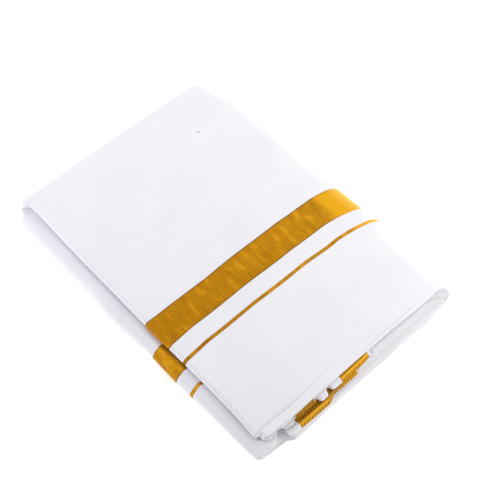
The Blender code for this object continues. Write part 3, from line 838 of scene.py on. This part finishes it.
def ply_grid(path, thickness, inset, seed):
    """Grid of one folded ply that stays inside: outer face, open end, inner face, closed end."""
    y, z = path.y - path.ny * inset, path.z - path.nz * inset
    end = open_end(y, z) + wave(path, 4, 0.3) + wave(path, seed, 0.16)
    start = between(CLOSED_END, z) + wave(path, seed + 0.5, 0.7)
    edge = [(0.4 * back, deep) for back, deep in lip(thickness / 2)]
    closed_edge = [(start + back, deep) for back, deep in reversed(edge)]
    inner = end - start - 2 * PLY_EDGE
    face = [start + PLY_EDGE + share * inner for share in np.linspace(0, 1, 11)]
    stations = closed_edge[3:] + [(place, 0.0) for place in face]
    stations += [(end - back, deep) for back, deep in edge]
    stations += [(place, thickness) for place in reversed(face)] + closed_edge[:3]
    return station_grid(path, stations)


def make_inner_plies():
    """The hidden plies, each folded over at both ends and nested in the one outside it, as one mesh."""
    ring = ring_section(*PLY_STEPS)
    layers = [(ring, inset, thickness, inset) for inset, thickness in RING_PLIES]
    layers += [(oval_section(inset, PLY_STEPS[0]), inset, thickness, 0.0) for inset, thickness in OVAL_PLIES]
    for inset, thickness, low, high in BOOK_PLIES:
        part = ring.only(((ring.run == "book fold") & (ring.z > low) & (ring.z < high))[:, 0])
        layers.append((part, inset, thickness, inset))
    material = cotton("inner_cotton", tint=INNER_TINT)
    round_count = len(RING_PLIES) + len(OVAL_PLIES)
    pieces, length = [], 0.0
    for k, (path, inset, thickness, moved) in enumerate(layers):
        x, deep = ply_grid(path, thickness, moved, FIRST_PLY_SEED + k)
        points = lay(path, x, moved + deep) if moved else lay_oval(path, x, deep, inset)
        around = np.concatenate([path.s, path.s[-1:] + 5.0])
        wide = np.concatenate([x, x[:, :1]], 1)
        wide = np.concatenate([wide, wide[:1]], 0)
        goes_round = k < round_count
        pieces.append(surface(f"ply_{k}", points, wide, around, [material], None, goes_round, True))
        if not goes_round:
            close_ends(pieces[-1])
        length += path.length
    joined = join(pieces, "inner_plies")
    finish_piece(joined, ["inner_layers"])


def lay_oval(path, x, deep, inset):
    """Points of a ply that goes round inside the lower packet only."""
    half = max(LOWER_R - inset, 0.01)
    tight = 1 - np.minimum(deep, half * 0.92) / half
    z = LOWER_R + (path.z - LOWER_R) * tight
    y = path.y - path.ny * np.minimum(deep, 1.2) * (np.abs(path.ny) > 0.01)
    return settle(x + 0 * y, y + 0 * x, z)


def join(pieces, name):
    """One object from several meshes that share a material."""
    with bpy.context.temp_override(active_object=pieces[0], selected_editable_objects=pieces):
        bpy.ops.object.join()
    pieces[0].name = name
    pieces[0].data.name = name
    return pieces[0]


def border_shape(outlines, share):
    """The U of a border fold, row by row: how far back from its nose it lies, and z.

    share says how much of the second outline it has there.
    """
    count = len(outlines[0])
    t = np.linspace(0, count - 1, 4 * count - 3)[None, :]
    columns = []
    for axis in (0, 1):
        first, second = ([(k, row[axis]) for k, row in enumerate(outline)] for outline in outlines)
        columns.append(between(first, t) * (1 - share) + between(second, t) * share)
    return columns


def make_border_fold(name, noses, outlines, widths, slant, gold_runs, node, smooth, darkened, darkened_to):
    """A fold of the woven end border that stands out between the packets: a U of cloth on its side.

    noses holds y and x along the fold. outlines holds the U's two shapes, from its upper arm round the nose
    to its lower arm, and widths says by y how much of the second one it has. It is gold between each pair of
    places in y of gold_runs, where its ribs slant by that many mm a mm. The rest is as in ribbed_gold.
    """
    y = np.arange(noses[0][0], noses[-1][0] + 0.01, 0.6)[:, None]
    back, z = border_shape(outlines, between(widths, y))
    x = between(noses, y) + back + 0.2 * np.sin(y / 6.3 + z / 2)
    run_x, run_z = np.gradient(x, axis=1), np.gradient(z, axis=1)
    size = np.hypot(run_x, run_z)
    u = run_length(x, z)
    v = y + slant * (u - u[:, -1:] / 2)
    gold = sum(within(y, low, low + 0.8, high - 0.8, high) for low, high in gold_runs)
    flat = within(u, smooth[0] - FLAT_RISE, smooth[0], smooth[1], smooth[1] + FLAT_FALL)
    rib = 0.5 * np.abs(np.sin(v * math.pi / BORDER_RIB)) ** BORDER_RIB_SHAPE - 0.2
    swell = gold * (rib * (1 - flat) + 0.2 * flat) * within(u, 2, 6, u[:, -1:] - 6, u[:, -1:] - 2)
    x, z = x - swell * run_z / size, z + swell * run_x / size
    materials = [cotton(name + "_white"), ribbed_gold(name + "_gold", smooth, darkened, darkened_to)]
    piece = surface(name, settle(x, y + 0 * x, z), u, v, materials)
    rows = np.arange(len(y) - 1).repeat(x.shape[1] - 1)
    middle = (y[:-1, 0] + y[1:, 0]) / 2
    is_gold = np.array([any(low < m < high for low, high in gold_runs) for m in middle])
    piece.data.polygons.foreach_set("material_index", is_gold[rows].astype(np.int32))
    cloth_wall(piece, BORDER_CLOTH)
    finish_piece(piece, [node])


# The shapes of the border folds, mm: x back from the nose, z
WIDE_OUTLINE = [
    (-12, 11.6), (-8, 12.5), (-5.6, 14.2), (-3.8, 14.5), (-1.9, 13.4), (-0.6, 11.9), (0, 10.9), (-0.2, 10.1),
    (-1.1, 9.6), (-4, 9.7), (-12, 10.4)]
NARROW_OUTLINE = [
    (-12, 13.0), (-6, 13.9), (-3.2, 15.1), (-1.8, 15.2), (-0.6, 14.7), (0, 13.9), (-0.1, 13.2), (-0.7, 12.6),
    (-1.8, 12.3), (-6, 12.2), (-12, 12.4)]
DEEP_OUTLINE = [
    (-9, 21.2), (-6, 21.4), (-3.0, 21.4), (-1.4, 21.2), (-0.5, 20.8), (-0.1, 20.3), (0, 19.9), (-0.3, 19.5),
    (-1.0, 19.3), (-4, 19.4), (-9, 19.8)]
SLOPED_OUTLINE = [
    (-9, 21.4), (-6.4, 21.6), (-4.6, 21.5), (-3.0, 20.9), (-1.6, 20.0), (-0.5, 19.1), (0, 18.2), (-0.3, 17.6),
    (-1.2, 17.3), (-5, 17.4), (-9, 17.8)]

# Where their noses lie, mm: y, x
UPPER_NOSES = [
    (40.5, 373.6), (43.5, 375.3), (50, 375.6), (63, 375.6), (66.5, 375.2), (68.3, 371.8), (70.2, 376.8),
    (71.5, 378.6), (76, 378.8), (80, 378.4), (82, 374.0), (84, 371.5), (86.2, 374.5), (87.4, 377.4),
    (93, 378.2), (99, 378.3), (112, 378.4), (130, 378.0), (138, 376.8), (142, 375.0)]
LOWER_NOSES = [
    (24, 379.5), (27.5, 381.8), (34, 383.0), (42, 382.8), (60, 383.2), (70, 383.6), (78.6, 383.6),
    (81.2, 382.0), (84, 380.6), (88, 380.0), (94, 380.1), (97.5, 380.7), (104, 380.6), (118, 380.2),
    (121, 377.4)]

make_wrap()
make_flap()
make_inner_plies()
# the upper fold's gold is painted darker from y 30 to 72: a painted shadow, where the upper packet's lip
# shades it
make_border_fold(
    "border_fold_upper", UPPER_NOSES, (DEEP_OUTLINE, SLOPED_OUTLINE), widths=[(64, 0), (71, 1), (200, 1)],
    slant=0.8, gold_runs=[(41, 66.2), (99.4, 138.2)], node="end_fold_upper", smooth=(5.2, 6.6),
    darkened=(30, 72), darkened_to=SHADOWED_GOLD)
make_border_fold(
    "border_fold_lower", LOWER_NOSES, (WIDE_OUTLINE, NARROW_OUTLINE), widths=[(78.4, 0), (81.8, 1), (130, 1)],
    slant=0.5, gold_runs=[(39.9, 118.6)], node="end_fold_lower", smooth=(8.6, 10.4), darkened=(82, 95),
    darkened_to=DULL_GOLD)


# ---- room, light and camera ----

FLOOR_HALF = 4.0  # m
FLOOR_GLOW = 0.4  # a little light of its own, so that the white ground stays plain white
FLOOR_WHITE = (0.97, 0.97, 0.97, 1)


def make_floor():
    mesh = bpy.data.meshes.new("floor")
    corners = [(x * FLOOR_HALF, y * FLOOR_HALF, 0) for x, y in ((-1, -1), (1, -1), (1, 1), (-1, 1))]
    mesh.from_pydata(corners, [], [(0, 1, 2, 3)])
    n = Nodes("floor_white")
    n.finish({"Base Color": FLOOR_WHITE, "Roughness": 0.9, "Specular IOR Level": 0.0,
              "Emission Color": (1, 1, 1, 1), "Emission Strength": FLOOR_GLOW})
    mesh.materials.append(n.material)
    floor = add_object("floor", mesh)


LIGHTS = [  # name, place in m, size in m, watts, colour
    ("back", (0.1, 0.7, 0.6), 0.5, 1.8, (1.0, 1.0, 1.0)),
    ("far_left", (-0.6, 0.3, 0.6), 0.6, 1.5, (1.0, 1.0, 1.0)),
    ("left", (-0.55, -0.6, 0.45), 0.6, 2.85, (0.97, 0.975, 1.09)),
    ("low_left", (-0.5, -0.8, 0.2), 0.6, 0.5, (0.97, 0.975, 1.09)),
    ("right", (0.7, 0.5, 0.5), 0.6, 3.3, (1.0, 0.995, 0.97))]
SKY = (1.0, 1.0, 1.01, 1)
SKY_STRENGTH = 0.565


def make_lights():
    for name, place, size, watts, colour in LIGHTS:
        data = bpy.data.lights.new(name, "AREA")
        data.shape = "DISK"
        data.size = size
        data.energy = watts
        data.color = colour
        lamp = add_object(name, data)
        lamp.location = place
        lamp.rotation_mode = "QUATERNION"
        lamp.rotation_quaternion = (-Vector(place)).to_track_quat("-Z", "Y")
    world = bpy.data.worlds.new("soft room")
    world.use_nodes = True
    sky = world.node_tree.nodes["Background"]
    sky.inputs["Color"].default_value = SKY
    sky.inputs["Strength"].default_value = SKY_STRENGTH
    bpy.context.scene.world = world
    bpy.context.scene.view_settings.view_transform = "Standard"
    bpy.context.scene.view_settings.look = "None"


# Camera, fitted to the pack's corners
VIEW_AZIMUTH = 48.535  # degrees
VIEW_ELEVATION = 55.912
VIEW_ROLL = -1.725
VIEW_DISTANCE = 1.01872  # m, from the point that it looks at
VIEW_SHIFT = (-0.02593, -0.00655)
VIEW_POINT = (-0.007165, -0.00325, 0.0)
FOCAL_SHARE = 963.166 / 500  # focal length as a share of the frame's width
SENSOR_WIDTH = 36.0  # mm
NEAREST = 0.05  # m


def make_camera():
    a, e = math.radians(VIEW_AZIMUTH), math.radians(VIEW_ELEVATION)
    back = Vector((math.sin(a) * math.cos(e), -math.cos(a) * math.cos(e), math.sin(e)))
    level = Vector((math.cos(a), math.sin(a), 0))
    turn = Matrix.Rotation(math.radians(VIEW_ROLL), 3, back)
    right = turn @ level
    up = back.cross(right)
    data = bpy.data.cameras.new("camera")
    data.sensor_width = SENSOR_WIDTH
    data.lens = FOCAL_SHARE * SENSOR_WIDTH
    data.clip_start = NEAREST
    camera = add_object("camera", data)
    place = Vector(VIEW_POINT) + back * VIEW_DISTANCE - right * VIEW_SHIFT[0] - up * VIEW_SHIFT[1]
    axes = Matrix((right, up, back)).transposed()
    camera.matrix_world = Matrix.Translation(place) @ axes.to_4x4()
    bpy.context.scene.camera = camera


make_floor()
make_lights()
make_camera()
